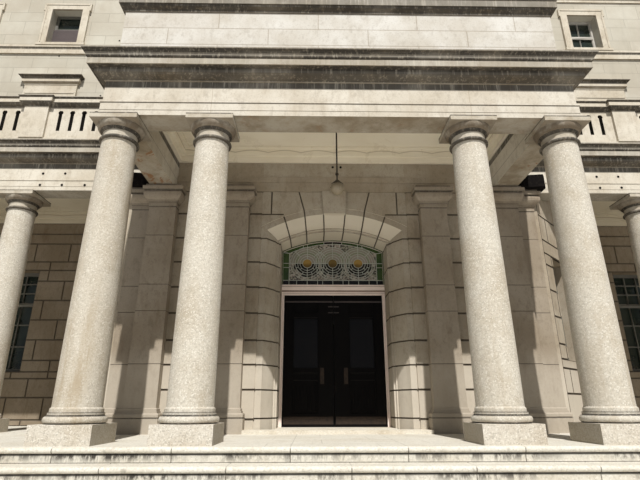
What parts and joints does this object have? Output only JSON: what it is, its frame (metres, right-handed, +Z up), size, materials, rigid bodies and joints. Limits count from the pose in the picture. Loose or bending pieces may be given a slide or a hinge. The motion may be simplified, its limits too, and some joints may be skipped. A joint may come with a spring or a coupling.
{
  "type": "bank building",
  "caption": "Stone bank building with a raised columned porch, side colonnades with balustrades over them, and double doors under an arched fanlight.",
  "frame": {"origin": "on the ground, under the middle of the bounding box", "axes": "+X to the right seen from the street, +Y from the street to the back, +Z up"},
  "size_m": [27.64, 17.5199, 16.104],
  "materials": {
    "granite": "fine-tooled speckled granite",
    "step_granite": "worn, streaked granite",
    "limestone": "weathered smooth stone",
    "ashlar": "squared blocks, fine joints",
    "plaster": "painted cream plaster",
    "roofing": "grey screed",
    "frame_paint": "satin paint",
    "fanlight_glass": "leaded glass",
    "door_wood": "dark satin paint",
    "door_glass": "dark glass",
    "brass": "tarnished",
    "window_glass": "dark green glass",
    "lamp_metal": "satin",
    "lamp_glass": "opal glass",
    "hinge_metal": "oiled",
    "black_metal": "matt"
  },
  "bodies": {
    "building": {"attic_cornice": "limestone", "attic_wall": "limestone", "balustrades": "limestone", "canted_walls": "limestone", "column_capitals": "granite", "column_plinths": "granite", "column_shafts": "granite", "cornice": "limestone", "door_arch": "limestone", "door_frame": "frame_paint", "door_hinges": "hinge_metal", "door_jambs": "limestone", "door_sill": "step_granite", "eaves": "ashlar", "end_walls": "limestone", "fanlight": "fanlight_glass", "floors": "roofing", "front_glass": "window_glass", "front_steps": "step_granite", "front_wall": "ashlar", "keystone": "limestone", "lamp_globe": "lamp_glass", "lamp_rod": "lamp_metal", "light_housings": "black_metal", "loggia_ceilings": "plaster", "loggia_walls": "limestone", "parapet": "ashlar", "pilasters": "limestone", "platform": "step_granite", "podium": "step_granite", "porch_architrave": "limestone", "porch_ceiling": "plaster", "porch_frieze": "limestone", "porch_string": "limestone", "porch_walls": "limestone", "rear_glass": "window_glass", "rear_wall": "ashlar", "roof": "roofing", "side_glass": "window_glass", "side_walls": "ashlar", "terrace": "roofing", "wall_bands": "ashlar", "window_hoods": "ashlar", "window_trim": "ashlar", "wing_architraves": "limestone", "wing_friezes": "limestone"},
    "left_leaf": {"door_glass_left": "door_glass", "door_leaf_left": "door_wood", "door_plates_left": "brass"},
    "right_leaf": {"door_glass_right": "door_glass", "door_leaf_right": "door_wood", "door_plates_right": "brass"}
  },
  "joints": [
    {"name": "left_leaf_hinge", "type": "hinge", "parent": "building", "child": "left_leaf", "pos_m": [-0.991, -3.289, 1.204], "axis": [0, 0, 1], "range_deg": [0, 90]},
    {"name": "right_leaf_hinge", "type": "hinge", "parent": "building", "child": "right_leaf", "pos_m": [0.991, -3.289, 1.204], "axis": [0, 0, -1], "range_deg": [0, 90]}
  ]
}
